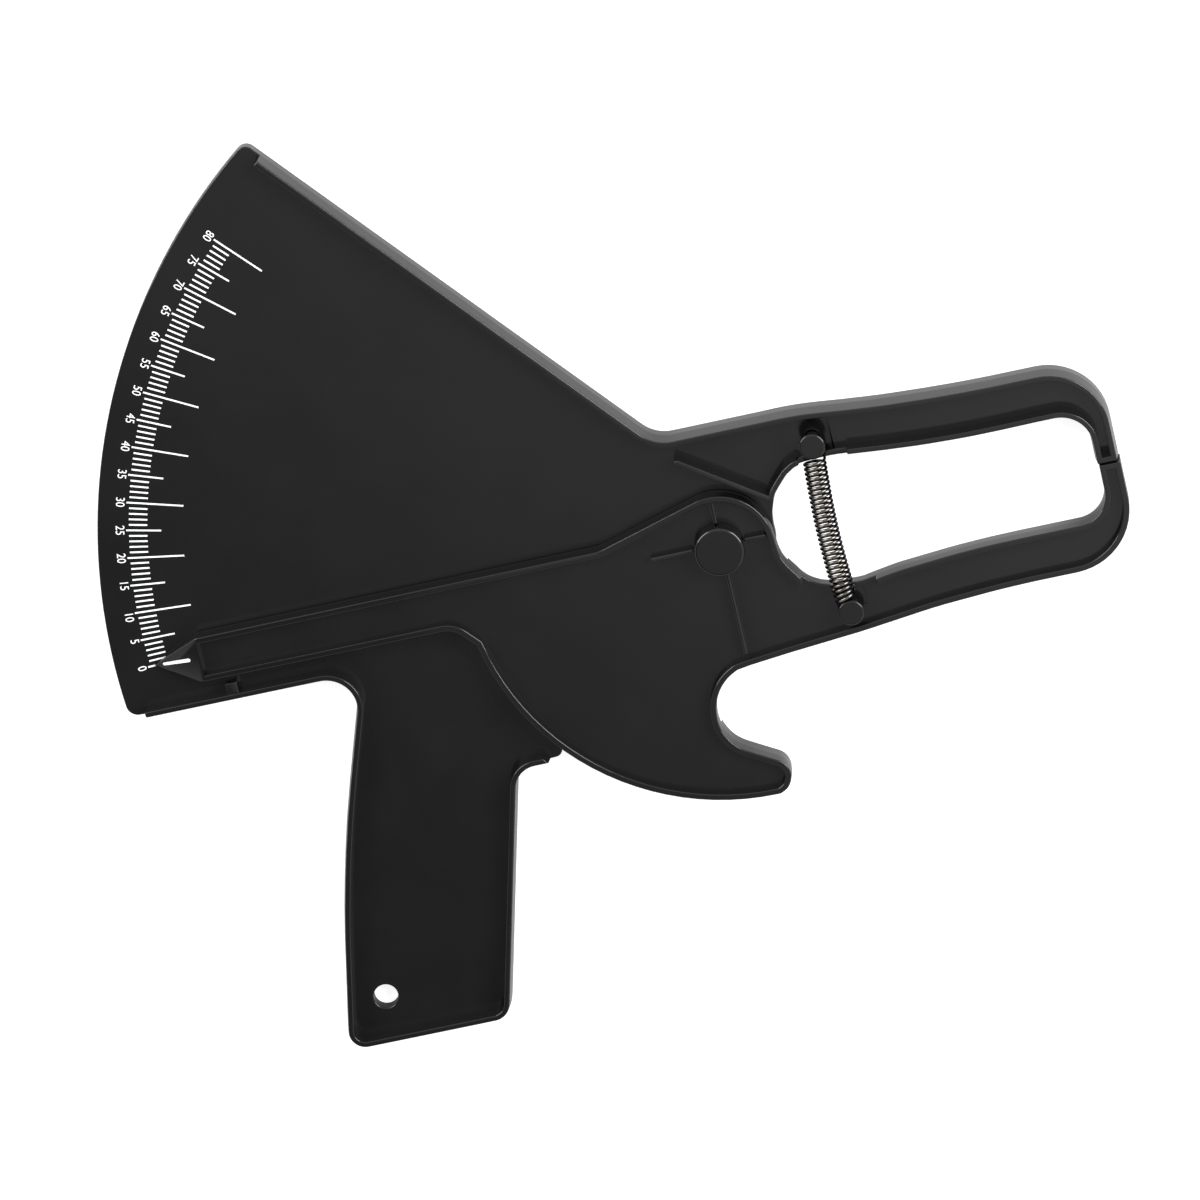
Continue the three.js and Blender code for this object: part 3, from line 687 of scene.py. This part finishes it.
# %% [markdown]
# ## Retaining washer
# The washer sits deep in the recess in the back, where only a flat ring of it shows. Its solid is true
# enough to be kept as it is, and gets its steel.

# %% Retaining washer
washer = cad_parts["retaining_washer"]
washer.data.materials.clear()
washer.data.materials.append(washer_steel)
print(f"retaining_washer: {len(washer.data.polygons)} faces of the solid, {washer_steel.name}")

# %% [markdown]
# ## The scale
# Eighty-one marks fan out along the dial: short ones for each millimetre, longer ones at the fives and
# the longest at the tens. They repeat by a rule, which is work for Geometry Nodes: one bar is copied
# round a centre by an equal angle each time. The same tree makes all three lengths. The fan's centre
# lies a little to the left of the pivot, so the outer ends of the marks keep their distance from the
# dial's edge.

# %% A fan of marks
FACE_MM = 4.5
INK_MM = 0.03
FAN_CENTRE = (-14.67, 5.93)
FAN_START = 182.764
FAN_STEP = 0.621
SCALE_END = 80
STROKE_MM = 0.45


def fan_tree():
    """Copies one bar round the origin. Skip leaves out each copy whose number it divides."""
    tree = bpy.data.node_groups.new("fan_of_marks", "GeometryNodeTree")
    sockets = tree.interface
    sockets.new_socket("Geometry", in_out="OUTPUT", socket_type="NodeSocketGeometry")
    for name, kind in (("Marks", "Int"), ("Skip", "Int"), ("Start", "Float"), ("Step", "Float"),
                       ("Inner Radius", "Float"), ("Outer Radius", "Float"), ("Stroke", "Float"),
                       ("Ink", "Float"), ("Material", "Material")):
        sockets.new_socket(name, in_out="INPUT", socket_type=f"NodeSocket{kind}")
    given = add(tree, "NodeGroupInput")
    length = add(tree, "ShaderNodeMath", {0: (given, "Outer Radius"), 1: (given, "Inner Radius")},
                 operation="SUBTRACT")
    both = add(tree, "ShaderNodeMath", {0: (given, "Outer Radius"), 1: (given, "Inner Radius")},
               operation="ADD")
    middle = add(tree, "ShaderNodeMath", {0: (both, 0), 1: 0.5}, operation="MULTIPLY")
    size = add(tree, "ShaderNodeCombineXYZ", {0: (length, 0), 1: (given, "Stroke"), 2: (given, "Ink")})
    bar = add(tree, "GeometryNodeMeshCube", {"Size": (size, 0)})
    shift = add(tree, "ShaderNodeCombineXYZ", {0: (middle, 0)})
    placed = add(tree, "GeometryNodeTransform", {"Geometry": (bar, "Mesh"), "Translation": (shift, 0)})
    spots = add(tree, "GeometryNodeMeshLine", {"Count": (given, "Marks"), "Offset": (0, 0, 0)})
    number = add(tree, "GeometryNodeInputIndex")
    turn = add(tree, "ShaderNodeMath", {0: (number, 0), 1: (given, "Step")}, operation="MULTIPLY")
    angle = add(tree, "ShaderNodeMath", {0: (given, "Start"), 1: (turn, 0)}, operation="SUBTRACT")
    rotation = add(tree, "ShaderNodeCombineXYZ", {2: (angle, 0)})
    left_over = add(tree, "ShaderNodeMath", {0: (number, 0), 1: (given, "Skip")}, operation="MODULO")
    kept = add(tree, "ShaderNodeMath", {0: (left_over, 0), 1: 0.5}, operation="GREATER_THAN")
    none = add(tree, "ShaderNodeMath", {0: (given, "Skip"), 1: 0.5}, operation="LESS_THAN")
    chosen = add(tree, "ShaderNodeMath", {0: (kept, 0), 1: (none, 0)}, operation="MAXIMUM")
    copies = add(tree, "GeometryNodeInstanceOnPoints", {
        "Points": (spots, 0), "Selection": (chosen, 0),
        "Instance": (placed, 0), "Rotation": (rotation, 0)})
    real = add(tree, "GeometryNodeRealizeInstances", {0: (copies, 0)})
    inked = add(tree, "GeometryNodeSetMaterial", {
        "Geometry": (real, 0), "Material": (given, "Material")})
    add(tree, "NodeGroupOutput", {"Geometry": (inked, 0)})
    return tree


fan = fan_tree()
SOCKETS = {item.name: item.identifier for item in fan.interface.items_tree if item.in_out == "INPUT"}


def marks(name, each, skip, inner, outer):
    """A mark at every each-th millimetre. Skip leaves out those that a longer mark takes."""
    piece = linked(name, bpy.data.meshes.new(name))
    maker = piece.modifiers.new("fan", "NODES")
    maker.node_group = fan
    sizes = {"Marks": SCALE_END // each + 1, "Skip": skip,
             "Start": math.radians(FAN_START), "Step": math.radians(FAN_STEP * each),
             "Inner Radius": inner * MM, "Outer Radius": outer * MM,
             "Stroke": STROKE_MM * MM, "Ink": 2 * INK_MM * MM, "Material": white_ink}
    for socket, value in sizes.items():
        maker[SOCKETS[socket]] = value
    settle(piece)
    piece.data.transform(Matrix.Translation(Vector((*FAN_CENTRE, FACE_MM)) * MM))
    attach(piece, "frame")
    print(f"{name}: {len(piece.data.polygons) // 6} marks")


# %% Marks
SHORT_INNER, SHORT_OUTER = 137.44, 142.36
FIVE_INNER, TEN_INNER, LONG_OUTER = 133.74, 127.86, 143.11
marks("marks_each_millimetre", 1, 5, SHORT_INNER, SHORT_OUTER)
marks("marks_each_five", 5, 2, FIVE_INNER, LONG_OUTER)
marks("marks_each_ten", 10, 0, TEN_INNER, LONG_OUTER)

# %% [markdown]
# ## Numbers
# Plain numbers stand outside the marks at every five, with their tops towards the pivot. Each is a text
# object in Blender's own font, narrowed a little, turned into a mesh before it is moved to its place on
# the dial. One of them is printed a little off its mark. All of them become one piece.

# %% Numbers
NUMBER_RADIUS = 144.75
DIGIT_HEIGHT_MM = 2.45
FONT_CAP_SHARE = 0.729
NARROWING = 0.84
NUMBER_EACH = 5
NUMBER_SLIPS = {10: -1.1}
WELD_MM = 0.0005


def printed_numbers(name):
    """All the numbers of the scale as one mesh."""
    whole = bmesh.new()
    for value in range(0, SCALE_END + 1, NUMBER_EACH):
        text = bpy.data.curves.new("number", "FONT")
        text.body = str(value)
        text.align_x = "CENTER"
        text.align_y = "CENTER"
        text.size = 1.0
        text.extrude = 0.5
        holder = linked("number", text)
        depsgraph = bpy.context.evaluated_depsgraph_get()
        flat = bpy.data.meshes.new_from_object(holder.evaluated_get(depsgraph))
        xs = [vert.co.x for vert in flat.vertices]
        ys = [vert.co.y for vert in flat.vertices]
        centre = Vector(((min(xs) + max(xs)) / 2, (min(ys) + max(ys)) / 2, 0))
        grown = DIGIT_HEIGHT_MM / FONT_CAP_SHARE
        shrunk = Matrix.Diagonal((grown * NARROWING, grown, 2 * INK_MM, 1))
        angle = FAN_START - FAN_STEP * value
        turn = Matrix.Rotation(math.radians(angle + 90), 4, "Z")
        middle = Vector((FAN_CENTRE[0] + NUMBER_RADIUS * math.cos(math.radians(angle)),
                         FAN_CENTRE[1] + NUMBER_RADIUS * math.sin(math.radians(angle)), FACE_MM))
        slip = turn @ Vector((-NUMBER_SLIPS.get(value, 0), 0, 0))
        flat.transform(Matrix.Scale(MM, 4) @ Matrix.Translation(middle + slip) @ turn @ shrunk
                       @ Matrix.Translation(-centre))
        whole.from_mesh(flat)
        bpy.data.objects.remove(holder)
    bmesh.ops.remove_doubles(whole, verts=whole.verts, dist=WELD_MM * MM)
    piece = piece_of(whole, name, white_ink)
    print(f"{name}: {len(piece.data.polygons)} faces")
    return piece


numbers = printed_numbers("scale_numbers")
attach(numbers, "frame")

# %% [markdown]
# ## Pointer line
# The arm ends in a wedge that slopes down to the dial, and a white bar is printed on the slope. It is
# built flat on that plane: two ends and a width, lifted by the thickness of the ink, so it rides with
# the lever and points at the mark below it.

# %% Pointer line
WEDGE_X, WEDGE_HEIGHT = -142.5, 10.8
WEDGE_FALL = 0.4415
BROAD_END, BROAD_WIDTH = (-145.8, -0.04), 1.0
NARROW_END, NARROW_WIDTH = (-152.9, -0.55), 0.8
END_STEPS = 6


def on_wedge(x, y, lift):
    """A point on the wedge's slope, or a little above or below it."""
    return Vector((x, y, WEDGE_HEIGHT + WEDGE_FALL * (x - WEDGE_X) + lift)) * MM


def pointer_line(name):
    """A bar with round ends, closed all round."""
    outline = []
    for (x, y), width, start in ((BROAD_END, BROAD_WIDTH, -90), (NARROW_END, NARROW_WIDTH, 90)):
        for step in range(END_STEPS + 1):
            angle = math.radians(start + 180 * step / END_STEPS)
            outline.append((x + width / 2 * math.cos(angle), y + width / 2 * math.sin(angle)))
    shape = bmesh.new()
    low = [shape.verts.new(on_wedge(x, y, -INK_MM)) for x, y in outline]
    high = [shape.verts.new(on_wedge(x, y, INK_MM)) for x, y in outline]
    shape.faces.new(high)
    shape.faces.new(low[::-1])
    for index in range(len(outline)):
        after = (index + 1) % len(outline)
        shape.faces.new((low[index], low[after], high[after], high[index]))
    piece = piece_of(shape, name, white_ink)
    print(f"{name}: {len(piece.data.polygons)} faces")
    return piece


pointer = pointer_line("pointer_line")
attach(pointer, "lever")
